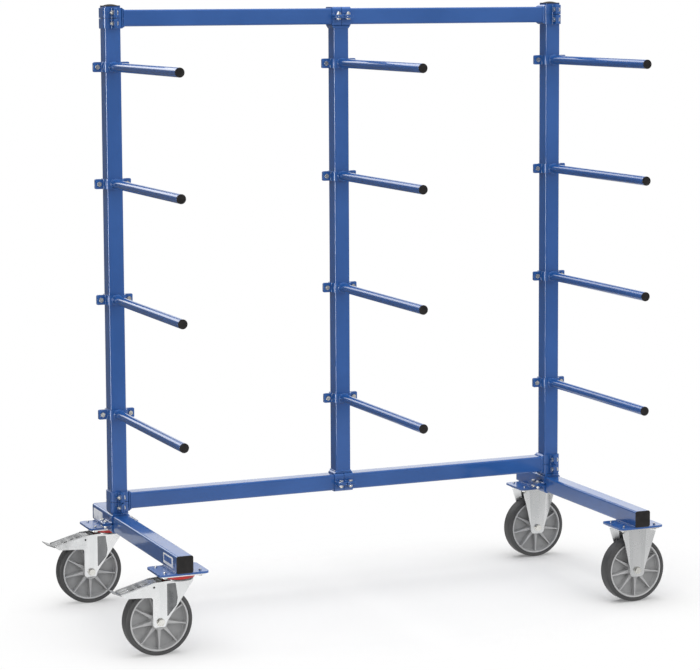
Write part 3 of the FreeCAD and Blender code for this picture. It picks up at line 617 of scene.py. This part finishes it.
def zinc_finish(name, dull, clear, streaked, roughness, wave, spots):
    """Zinc-plated sheet: clouds, drawing streaks and the slight waviness of a pressing."""
    finish = Finish(name, metallic=1.0)
    surface = finish.effect(surface_drift, Drift_Scale=spots, Grain_Scale=420.0)
    streak = finish.effect(drawn_streaks, Scale=38.0)["Streak"]
    finish.colour(finish.blend(streak, finish.blend(surface["Drift"], dull, clear), streaked))
    finish.roughness(surface["Drift"], roughness - 0.06, roughness + 0.06)
    waved = finish.bump(finish.effect(sheet_wave, Scale=30.0)["Wave"], wave, 1.0)
    finish.bump(surface["Grain"], 0.04 * MM, 0.25, over=waved)
    return finish.material


def zinc_sheet():
    return zinc_finish(
        "zinc_sheet", dull=(0.73, 0.745, 0.75), clear=(0.79, 0.80, 0.805),
        streaked=(0.83, 0.835, 0.84), roughness=0.26, wave=1.2 * MM, spots=24.0)


# A darker copy of the zinc sheet for the flat middles of the brackets: painted shade.
def zinc_flat_painted_shade():
    return zinc_finish(
        "zinc_flat_painted_shade", dull=(0.60, 0.615, 0.62), clear=(0.66, 0.67, 0.675),
        streaked=(0.70, 0.705, 0.71), roughness=0.26, wave=1.2 * MM, spots=24.0)


# A much darker copy of the zinc: painted shade on the fork's panels and crown, and the darker pads
# of the pedal.
def zinc_shade_and_pads():
    return zinc_finish(
        "zinc_shade_and_pads", dull=(0.13, 0.135, 0.14), clear=(0.21, 0.215, 0.22),
        streaked=(0.26, 0.265, 0.27), roughness=0.30, wave=1.6 * MM, spots=40.0)


# A darker copy of the zinc for the pedal's tread: painted shade between the guard plates.
def zinc_pedal_painted_shade():
    return zinc_finish(
        "zinc_pedal_painted_shade", dull=(0.30, 0.305, 0.31), clear=(0.37, 0.375, 0.38),
        streaked=(0.45, 0.455, 0.46), roughness=0.22, wave=0.6 * MM, spots=60.0)


def zinc_fasteners():
    return plain_finish(
        "zinc_fasteners", dark=(0.66, 0.65, 0.61), light=(0.82, 0.815, 0.78),
        rough=(0.22, 0.34), drift=150.0, grain=900.0, relief=0.03 * MM, strength=0.25,
        metallic=1.0)


def black_plastic():
    return plain_finish(
        "black_plastic", dark=(0.009, 0.008, 0.008), light=(0.017, 0.015, 0.0145),
        # edge: a lighter rim on the edges of the caps, a painted highlight
        edge=(0.045, 0.04, 0.038), rough=(0.42, 0.56), drift=60.0, grain=1100.0,
        relief=0.06 * MM, strength=0.5, specular=0.3)


def tyre_rubber():
    return plain_finish(
        "tyre_rubber", dark=(0.052, 0.052, 0.053), light=(0.070, 0.070, 0.071),
        rough=(0.5, 0.66), drift=18.0, grain=700.0, relief=0.08 * MM, strength=0.4,
        specular=0.3)


def moulded_grey(name, dark, light):
    # The edges of lip and spokes 1.35 times lighter: a painted highlight where they catch the
    # light.
    return plain_finish(
        name, dark, light, edge=tuple(1.35 * c for c in light), rough=(0.42, 0.56),
        drift=30.0, grain=800.0, relief=0.05 * MM, strength=0.4, specular=0.4)


def rim_grey():
    return moulded_grey("rim_grey", (0.33, 0.332, 0.335), (0.38, 0.382, 0.385))


# A darker grey for the recessed panels between lip and hub: painted shade in the recess.
def rim_panel_painted_shade():
    return moulded_grey("rim_panel_painted_shade", (0.255, 0.257, 0.26), (0.300, 0.302, 0.305))


def red_seal():
    return plain_finish(
        "red_seal", dark=(0.40, 0.010, 0.009), light=(0.52, 0.018, 0.014),
        rough=(0.3, 0.45), drift=45.0, grain=900.0, relief=0.04 * MM, strength=0.3)


def bearing_steel():
    return plain_finish(
        "bearing_steel", dark=(0.40, 0.40, 0.41), light=(0.52, 0.52, 0.53),
        rough=(0.18, 0.32), drift=120.0, grain=900.0, relief=0.03 * MM, strength=0.2,
        metallic=1.0)


def dark_pin():
    return plain_finish(
        "dark_pin", dark=(0.006, 0.006, 0.006), light=(0.018, 0.018, 0.018),
        rough=(0.45, 0.65), drift=200.0, grain=1200.0, relief=0.03 * MM, strength=0.4,
        specular=0.3)


def label_film(name, dark, light):
    return plain_finish(name, dark, light, rough=(0.24, 0.36), drift=50.0, grain=900.0,
                        relief=0.02 * MM, strength=0.2)


def label_white():
    return label_film("label_white", (0.90, 0.905, 0.91), (0.95, 0.955, 0.96))


def label_blue():
    return label_film("label_blue", (0.05, 0.13, 0.38), (0.07, 0.16, 0.44))


BLUE = blue_powder_coat()
ZINC = zinc_sheet()
ZINC_FLAT_SHADE = zinc_flat_painted_shade()
ZINC_SHADE_AND_PADS = zinc_shade_and_pads()
ZINC_PEDAL_SHADE = zinc_pedal_painted_shade()
PIN = dark_pin()
BRIGHT = zinc_fasteners()
BLACK = black_plastic()
TYRE = tyre_rubber()
RIM = rim_grey()
RIM_PANEL_SHADE = rim_panel_painted_shade()
RED = red_seal()
STEEL = bearing_steel()
LABEL = label_white()
LABEL_BLUE = label_blue()


# ---- frame, straps and arms ----------------------------------------------------------------
def coat_frame():
    for side in SIDES:
        rounded_copy("base_beam_" + side, BLUE, SHEET_EDGE)
    for side in POSTS:
        rounded_copy("post_" + side, BLUE, SOFT_EDGE)
    for place in ("top", "bottom"):
        rounded_copy("rail_" + place, BLUE, SOFT_EDGE)
    rounded_copy("joint_straps", BLUE, SOFT_EDGE)
    rounded_copy("beam_end_caps", BLACK, CAP_EDGE)
    rounded_copy("post_top_caps", BLACK, CAP_EDGE)


def coat_arms():
    for level in LEVELS:
        for side in POSTS:
            rounded_copy("arm_" + side + "_" + level, BLUE, SOFT_EDGE)
        rounded_copy("arm_straps_" + level, BLUE, SOFT_EDGE)
        rounded_copy("arm_caps_" + level, BLACK, SMALL_EDGE)


# ---- joints --------------------------------------------------------------------------------
def joint_places():
    """Each tube joint as a turn and a centre: unturned, the tube that is welded on leaves to -Y."""
    to_right = Matrix.Rotation(math.radians(90), 3, "Z")
    to_left = Matrix.Rotation(math.radians(-90), 3, "Z")
    upwards = Matrix.Rotation(math.radians(-90), 3, "X")
    downwards = Matrix.Rotation(math.radians(120), 3, Vector((1, 1, 1)))
    over = Matrix.Rotation(math.radians(180), 3, "X")
    places = []
    for side, turn in (("left", to_right), ("right", to_left)):
        for height in rail_z.values():
            places.append((turn, Vector((post_x[side], 0, height))))
        places.append((upwards, Vector((post_x[side], 0, beam_z))))
    places.append((downwards, Vector((0, 0, rail_z["top"]))))
    places.append((over @ downwards, Vector((0, 0, rail_z["bottom"]))))
    return places


def rounded_loop(side, corner, y):
    """A closed square path with rounded corners, in a plane of constant y."""
    flat = side / 2 - corner
    centres = ((flat, flat), (-flat, flat), (-flat, -flat), (flat, -flat))
    points = []
    for number, (cx, cz) in enumerate(centres):
        arc = arc_points(cx, cz, corner, 90 * number, 90 * number + 90, 6)
        points += [Vector((x, y, z)) for x, z in arc]
    return spread(points, BEAD_STEP, closed=True)


def weld_joints():
    """Beads round the tubes where their saddles are welded on."""
    loop = rounded_loop(tube + 1.0 * MM, 6.0 * MM, -half - SADDLE_DEPTH)
    for number, (turn, centre) in enumerate(joint_places(), 1):
        path = [centre + turn @ point for point in loop]
        bead("joint_weld_%d" % number, path, JOINT_BEAD, BLUE, "frame",
             closed=True)


def weld_arms():
    """Oval beads where the arms stand on their clamps."""
    face = -(half + CLAMP_AIR + STRAP_SHEET)
    y = face - 1.2 * MM
    across = ARM_RADIUS + 1.6 * MM
    upwards = STRAP_WIDTH / 2 - 0.6 * MM
    oval = [(across * math.cos(a), upwards * math.sin(a)) for a in circle_angles(ARM_BEAD_STEPS)]
    for level in LEVELS:
        for side in POSTS:
            path = [Vector((post_x[side] + x, y, level_z[level] + z)) for x, z in oval]
            bead("arm_weld_" + side + "_" + level, path, ARM_BEAD, BLUE, "level_" + level,
                 closed=True, ripple=0.18)


def weld_foot_plates():
    """Beads along both sides of a beam, on top of its foot plates."""
    reach = 58.0 * MM
    z = mount_z + FOOT_PLATE + 0.8 * MM
    for side in SIDES:
        for end in ENDS:
            for way, label in ((-1, "left"), (1, "right")):
                x = post_x[side] + way * (half - 1.5 * MM)
                start = Vector((x, caster_y[end] - reach, z))
                stop = Vector((x, caster_y[end] + reach, z))
                bead("foot_weld_%s_%s_%s" % (side, end, label), spread([start, stop], BEAD_STEP),
                     FOOT_BEAD, BLUE, "frame")


def bolt_joints():
    work = bmesh.new()
    for turn, centre in joint_places():
        for across in (-bolt_out, bolt_out):
            for row in (-row_out, row_out):
                add_bolt_and_nut(work, centre + turn @ Vector((across, 0, row)), turn)
    piece = finish_mesh(work, "joint_bolts_threaded", [BRIGHT], "frame")
    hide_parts("joint_bolts_and_nuts")


def bolt_arms():
    upright = Matrix.Identity(3)
    for level in LEVELS:
        work = bmesh.new()
        for x in post_x.values():
            for across in (-bolt_out, bolt_out):
                add_bolt_and_nut(work, Vector((x + across, 0, level_z[level])), upright)
        name = "arm_bolts_threaded_" + level
        piece = finish_mesh(work, name, [BRIGHT], "level_" + level)
        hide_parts("arm_bolts_and_nuts_" + level)


def bolt_casters():
    """Bolts from below: head under the caster's plate, thread through the foot plate."""
    upwards = Matrix.Rotation(math.radians(90), 3, "X")
    work = bmesh.new()
    for side in SIDES:
        for middle_y in caster_y.values():
            for sx in (-1, 1):
                for sy in (-1, 1):
                    x = post_x[side] + sx * HOLE_OFFSET[0]
                    y = middle_y + sy * HOLE_OFFSET[1]
                    add_plate_bolt(work, Vector((x, y, mount_z - CASTER_PLATE)), upwards)
    piece = finish_mesh(work, "caster_bolts_threaded", [BRIGHT], "frame")
    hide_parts("caster_bolts")


# ---- wheels --------------------------------------------------------------------------------
def tyre_profile(radius, inner, width):
    """Half-round shoulders, a faint crown on the tread and two shallow mould lines."""
    w = width / 2
    bevel = 1.0 * MM
    wall = inner + 4.0 * MM
    shoulder = 7.0 * MM
    crown = 0.35 * MM
    bend = radius - crown - shoulder
    groove = w - 9.0 * MM               # from the middle of the tread to a mould line
    mouth, bottom = 0.9 * MM, 0.4 * MM  # half its widths
    tread = radius - crown * 0.6
    depth = radius - 0.9 * MM
    points = [(inner, -w + bevel), (inner + bevel, -w), (wall, -w)]
    points += arc_points(bend, -w + shoulder, shoulder, 270, 360, 8)
    for at in (-groove, groove):
        points += [(tread, at - mouth), (depth, at - bottom)]
        points += [(depth, at + bottom), (tread, at + mouth)]
        if at < 0:
            points += [(radius, -w * 0.25), (radius, w * 0.25)]
    points += arc_points(bend, w - shoulder, shoulder, 0, 90, 8)
    points += [(wall, w), (inner + bevel, w), (inner, w - bevel)]
    return points


def make_tyre(corner):
    node = "tyre_" + corner
    low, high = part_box(node)
    radius = (high.x - low.x) / 2
    work = bmesh.new()
    turned_body(work, tyre_profile(radius, radius - TYRE_DEPTH, high.y - low.y), middle(node))
    piece = finish_mesh(work, node + "_moulded", [TYRE], body_of(node))
    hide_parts(node)


def spoke_section(t, face, web):
    """The outline of a spoke at a share of its way out: wide at the hub, waisted, flared."""
    waist, root, flare = 3.6, 8.0, 3.0      # in millimetres
    width = (waist + root * (1 - t) ** 1.9 + flare * t ** 14) * MM / 2
    high = face - 1.2 * MM * t + 1.0 * MM * (1 - t) ** 3
    soft = min(1.1 * MM, width * 0.6)
    side = [(width + 1.6 * MM, web), (width + 0.5 * MM, web + 1.5 * MM), (width, high - 3 * soft)]
    side += [(width, high - soft), (width - 0.3 * soft, high - 0.3 * soft), (width - soft, high)]
    upper = side + [(-x, y) for x, y in reversed(side)]
    return upper + [(x, -y) for x, y in reversed(upper)]


def add_spoke(work, centre, angle, start, end, face, web):
    """One spoke through both sides of the web."""
    outward = Vector((math.cos(angle), 0, math.sin(angle)))
    across = Vector((-math.sin(angle), 0, math.cos(angle)))
    steps = 18
    rings = []
    for i in range(steps + 1):
        t = i / steps
        foot = centre + outward * (start + (end - start) * t)
        rings.append([work.verts.new(foot + across * x + Vector((0, y, 0)))
                      for x, y in spoke_section(t, face, web)])
    ring_faces(work, rings, close_rings=True)


def rim_profile(radius, inner, edge, way):
    """The lip that holds the tyre, on one side of the web."""
    seat = radius - 0.2 * MM
    profile = [(seat, 0.0), (seat, edge - way * 1.4 * MM), (radius - 1.4 * MM, edge)]
    profile += [(inner + 1.6 * MM, edge), (inner + 0.2 * MM, edge - way * 1.6 * MM)]
    profile += [(inner - 0.6 * MM, way * (WEB_HALF + 4.0 * MM))]
    return profile + [(inner - 2.4 * MM, way * (WEB_HALF + 1.2 * MM))]


def web_profile(inner, way):
    """The recessed panel between lip and hub, on one side."""
    profile = [(inner - 2.4 * MM, way * (WEB_HALF + 1.2 * MM)), (inner - 5.0 * MM, way * WEB_HALF)]
    profile += [(HUB_RADIUS + 5.0 * MM, way * WEB_HALF)]
    return profile + [(HUB_RADIUS + 2.0 * MM, way * (WEB_HALF + 1.0 * MM))]


def hub_profile(hub_half, way):
    """The hub with the mouth of its bearing seat, on one side."""
    top = way * (hub_half - 0.2 * MM)
    mouth = way * (hub_half - 1.4 * MM)
    profile = [(HUB_RADIUS + 2.0 * MM, way * (WEB_HALF + 1.0 * MM))]
    profile += [(HUB_RADIUS + 0.6 * MM, way * (WEB_HALF + 4.0 * MM))]
    profile += [(HUB_RADIUS, way * (hub_half - 1.6 * MM)), (HUB_RADIUS - 1.4 * MM, top)]
    profile += [(18.5 * MM, top), (17.6 * MM, mouth), (16.4 * MM, mouth)]
    return profile + [(16.1 * MM, way * (hub_half - 6.0 * MM))]


def make_rim(corner):
    node = "rim_" + corner
    low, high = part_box(node)
    centre = middle(node)
    radius = (high.x - low.x) / 2
    hub_half = (high.y - low.y) / 2
    rim_half = hub_half - RIM_STEP
    inner = radius - RIM_LIP
    work = bmesh.new()
    for way in (-1, 1):
        lip = rim_profile(radius, inner, way * rim_half, way)
        turned_body(work, lip, centre, closed=False)
        # The recessed panel takes the second material: painted shade.
        turned_body(work, web_profile(inner, way), centre, closed=False, material=1)
        turned_body(work, hub_profile(hub_half, way), centre, closed=False)
    bmesh.ops.remove_doubles(work, verts=work.verts, dist=RIM_MERGE_WITHIN)
    for i in range(SPOKES):
        angle = math.radians(-90 + 360 / SPOKES * i)
        add_spoke(work, centre, angle, HUB_RADIUS - 1.0 * MM, inner + 1.0 * MM,
                  rim_half - 3.6 * MM, WEB_HALF - 0.4 * MM)
    piece = finish_mesh(work, node + "_spoked", [RIM, RIM_PANEL_SHADE], body_of(node))
    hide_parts(node)


# ---- casters -------------------------------------------------------------------------------
def dress_fork(end):
    """The pressed panels in the outsides of the legs, and the crown, take a much darker zinc:
    painted shade.
    """
    middle_y = middle("tyre_" + end + "_left").y

    def is_painted_shade(centre, normal):
        depth = FORK_HALF - abs(centre.y - middle_y)
        recessed = PANEL_DEPTH * 0.3 < depth < PANEL_DEPTH * 1.2 and abs(normal.y) > 0.5
        return recessed or centre.z > crown_z + 0.3 * MM

    rounded_copy("swivel_fork_" + end, ZINC, CAP_EDGE, other=ZINC_SHADE_AND_PADS,
                 picks=is_painted_shade)


def dress_pins(end):
    """The pedal's pins are dark in their holes."""
    def is_pin(centre, normal):
        return centre.z > wheel_z + PIN_RISE

    rounded_copy("fork_axle_and_pins_" + end, BRIGHT, SMALL_EDGE, other=PIN,
                 picks=is_pin)


def slope_points(end):
    """The low and the high end of the pedal's slope, on its upper face."""
    axle_x = middle("tyre_" + end + "_left").x
    low, high = (Vector((axle_x - out, caster_y[end], crown_z - down))
                 for out, down in (SLOPE_LOW, SLOPE_HIGH))
    return low, high


def dress_pedal(end):
    """The tread in a darker zinc, painted shade, with darker pads, and rolled rims round its two
    slots.
    """
    low, high = slope_points(end)
    along = (high - low).normalized()
    up = along.cross(Vector((0, 1, 0)))
    up = up if up.z > 0 else -up
    pads_end = (high - low).length * 0.95

    def is_pad(centre, normal):
        from_low = centre - low
        return from_low.dot(up) > PAD_HEIGHT * 0.6 and from_low.dot(along) < pads_end

    rounded_copy("brake_pedal_" + end, ZINC_PEDAL_SHADE, SMALL_EDGE, other=ZINC_SHADE_AND_PADS,
                 picks=is_pad)
    lift = up * 0.2 * MM
    centre = low.lerp(high, SLOT_PLACE)
    for way, label in ((-1, "a"), (1, "b")):
        path = []
        for sign, first in ((1, -90), (-1, 90)):
            arc = arc_points(sign * SLOT_LENGTH / 2, 0.0, SLOT_WIDTH / 2, first, first + 180, 8)
            for u, v in arc:
                across = Vector((0, way * SLOT_APART / 2 + v, 0))
                path.append(centre + along * u + across + lift)
        bead("slot_rim_%s_%s" % (end, label), path, SLOT_RIM, ZINC, "pedal_" + end,
             closed=True, ripple=0.0)


def edge_guards(end):
    """The bright top edges of the guard plates beside the pedal."""
    low, high = slope_points(end)
    for way, label in ((-1, "a"), (1, "b")):
        side = Vector((0, way * (FORK_HALF - 1.6 * MM), 0))
        tip = low + Vector((-2.0 * MM, 0, 0.5 * MM)) + side
        bend = high + Vector((10.0 * MM, 0, 1.4 * MM)) + side
        run = spread([tip.lerp(bend, 0.03), bend], 2.5 * MM)
        bead("guard_edge_%s_%s" % (end, label), run, GUARD_RIM, ZINC, "fork_" + end,
             ripple=0.0)


def dress_bracket(end):
    """The flat middles of the legs take a darker zinc than the flared wings: painted shade."""
    def is_flat(centre, normal):
        return abs(normal.y) > 0.97

    rounded_copy("fixed_bracket_" + end, ZINC, SOFT_EDGE, other=ZINC_FLAT_SHADE,
                 picks=is_flat)


def dress_casters():
    for end in ENDS:
        dress_fork(end)
        dress_pins(end)
        dress_pedal(end)
        edge_guards(end)
        dress_bracket(end)
        for side in SIDES:
            corner = end + "_" + side
            make_tyre(corner)
            make_rim(corner)
            rounded_copy("hub_bearings_" + corner, STEEL, CAP_EDGE)
    rounded_copy("fixed_axles", BRIGHT, CAP_EDGE)
    rounded_copy("swivel_top_plates", ZINC, SOFT_EDGE)
    rounded_copy("swivel_seals", RED, SOFT_EDGE)


# ---- blank labels --------------------------------------------------------------------------
def label_plate(name, y, z, length, height, thickness, material):
    """A thin film with rounded corners on the outer face of the left beam."""
    face = post_x["left"] - half
    corner = 2.5 * MM
    corners = ((1, 1, 0), (-1, 1, 90), (-1, -1, 180), (1, -1, 270))
    work = bmesh.new()
    rims = []
    for depth, inset in ((0.0, 0.0), (thickness, 0.0), (thickness * 1.15, 0.4 * MM)):
        rim = []
        for sy, sz, start in corners:
            cy = sy * (length / 2 - corner)
            cz = sz * (height / 2 - corner)
            for u, v in arc_points(cy, cz, corner - inset, start, start + 90, 5):
                rim.append(work.verts.new(Vector((face - depth, y + u, z + v))))
        rims.append(rim)
    ring_faces(work, rims, close_rings=True)
    work.faces.new(rims[-1])
    label = finish_mesh(work, name, [material], "frame", weighted=False)
    for polygon in label.data.polygons:
        polygon.use_smooth = False


def add_labels():
    """A white film at each end of the beam; the front one has a plain blue field."""
    front, back = cap_low.y, cap_high.y
    label_plate("label_front", y=front + 75.0 * MM, z=beam_z,
                length=84.0 * MM, height=30.0 * MM, thickness=0.3 * MM, material=LABEL)
    label_plate("label_front_panel", y=front + 78.0 * MM, z=beam_z + 2.0 * MM,
                length=66.0 * MM, height=17.0 * MM, thickness=0.42 * MM, material=LABEL_BLUE)
    label_plate("label_back", y=back - 58.0 * MM, z=beam_z - 2.0 * MM,
                length=92.0 * MM, height=33.0 * MM, thickness=0.3 * MM, material=LABEL)


# ---- floor, backdrop, light and camera -----------------------------------------------------
def floor_white():
    """White far out for the camera; in reflections bright in the middle and dim to the sides."""
    finish = Finish("floor_white", specular=0.0)
    finish.shader.inputs["Roughness"].default_value = 0.9
    finish.shader.inputs["Base Color"].default_value = FLOOR_SHADE
    tree = finish.tree
    place = object_place(tree)
    paths = tree.nodes.new("ShaderNodeLightPath").outputs

    squeezed = vector_node(tree, "MULTIPLY", place, FLOOR_STRETCH)["Vector"]
    distance = vector_node(tree, "DISTANCE", squeezed, FLOOR_CENTRE)["Value"]
    far = ranged(tree, distance, *FLOOR_FADE, FLOOR_GLOW, 1.0, True)
    share = math_node(tree, "MULTIPLY", far, paths["Is Camera Ray"])
    glow = white_light(tree, "ShaderNodeEmission", 1.0)
    faded = mix_shaders(tree, share, finish.shader.outputs[0], glow)

    split = tree.nodes.new("ShaderNodeSeparateXYZ")
    tree.links.new(place, split.inputs[0])
    across = math_node(tree, "SUBTRACT", split.outputs["X"], split.outputs["Y"])
    rise = ranged(tree, across, *FLOOR_RISE, True)
    fall = ranged(tree, across, *FLOOR_FALL, True)
    lit = math_node(tree, "SUBTRACT", rise, fall)
    mirrored = white_light(tree, "ShaderNodeEmission", lit)

    seen = mix_shaders(tree, paths["Is Glossy Ray"], faded, mirrored)
    tree.links.new(seen, tree.nodes["Material Output"].inputs["Surface"])
    return finish.material


def make_floor():
    """A pale floor that keeps the shadows and turns to plain white further out."""
    work = bmesh.new()
    bmesh.ops.create_circle(work, cap_ends=True, segments=FLOOR_SEGMENTS, radius=FLOOR_RADIUS)
    mesh = bpy.data.meshes.new("floor")
    work.to_mesh(mesh)
    work.free()
    mesh.materials.append(floor_white())
    floor = bpy.data.objects.new("floor", mesh)
    bpy.context.scene.collection.objects.link(floor)


def make_world():
    """Plain white behind the rack, a soft sky that lights it and lit panels that it mirrors."""
    world = bpy.data.worlds.new("studio")
    bpy.context.scene.world = world
    world.use_nodes = True
    tree = world.node_tree
    tree.nodes.clear()
    direction = tree.nodes.new("ShaderNodeTexCoord").outputs["Generated"]
    paths = tree.nodes.new("ShaderNodeLightPath").outputs
    soft = lobe_sum(tree, direction, SKY_LOBES, SKY_BASE)
    sharp = lobe_sum(tree, direction, MIRRORED_LOBES, MIRRORED_BASE)
    sky = white_light(tree, "ShaderNodeBackground", soft)
    panels = white_light(tree, "ShaderNodeBackground", sharp)
    backdrop = white_light(tree, "ShaderNodeBackground", 1.0)
    reflected = math_node(tree, "MAXIMUM", paths["Is Glossy Ray"], paths["Is Transmission Ray"])
    lighting = mix_shaders(tree, reflected, sky, panels)
    seen = mix_shaders(tree, paths["Is Camera Ray"], lighting, backdrop)
    output = tree.nodes.new("ShaderNodeOutputWorld")
    tree.links.new(seen, output.inputs["Surface"])


def area_light(name, place, target, size, power):
    """A lamp that stays out of reflections, turned towards a point."""
    lamp = bpy.data.lights.new(name, "AREA")
    lamp.shape = "RECTANGLE"
    lamp.size, lamp.size_y = size
    lamp.energy = power
    lamp.color = LAMP_COLOUR
    holder = bpy.data.objects.new(name, lamp)
    holder.location = place
    holder.rotation_mode = "QUATERNION"
    holder.rotation_quaternion = (Vector(target) - Vector(place)).to_track_quat("-Z", "Y")
    holder.visible_glossy = False
    bpy.context.scene.collection.objects.link(holder)
    return holder


def make_lights():
    """Two soft lamps, and a strip on the left that only reflections on the corners show."""
    area_light("overhead", place=(-0.35, 0.35, 4.4), target=(0.05, -0.2, 0.0),
               size=(5.0, 4.2), power=172.0)
    area_light("front", place=(2.4, -4.6, 3.0), target=(0.0, 0.0, 0.9),
               size=(4.0, 3.0), power=30.0)
    strip = area_light("left_strip", place=(-2.4, -0.95, 0.95), target=(0.0, 0.0, 0.95),
                       size=(1.1, 1.9), power=6.5)
    strip.data.spread = STRIP_SPREAD
    strip.visible_glossy = True
    strip.visible_diffuse = False
    strip.visible_camera = False


def make_camera():
    data = bpy.data.cameras.new("camera")
    data.sensor_width = CAMERA_SENSOR
    data.lens = CAMERA_LENS
    data.shift_y = CAMERA_SHIFT
    data.clip_end = CAMERA_REACH
    camera = bpy.data.objects.new("camera", data)
    bpy.context.scene.collection.objects.link(camera)
    forward = Vector((math.sin(CAMERA_YAW) * math.cos(CAMERA_PITCH),
                      math.cos(CAMERA_YAW) * math.cos(CAMERA_PITCH), -math.sin(CAMERA_PITCH)))
    right = Vector((math.cos(CAMERA_YAW), -math.sin(CAMERA_YAW), 0.0))
    up = right.cross(forward)
    tilted_right = right * math.cos(CAMERA_ROLL) + up * math.sin(CAMERA_ROLL)
    tilted_up = up * math.cos(CAMERA_ROLL) - right * math.sin(CAMERA_ROLL)
    turn = Matrix((tilted_right, tilted_up, -forward)).transposed()
    camera.matrix_world = Matrix.Translation(CAMERA_PLACE) @ turn.to_4x4()
    bpy.context.scene.camera = camera


coat_frame()
coat_arms()
weld_joints()
weld_arms()
weld_foot_plates()
bolt_joints()
bolt_arms()
bolt_casters()
dress_casters()
add_labels()
make_floor()
make_world()
make_lights()
make_camera()
bpy.context.scene.view_settings.view_transform = "Standard"
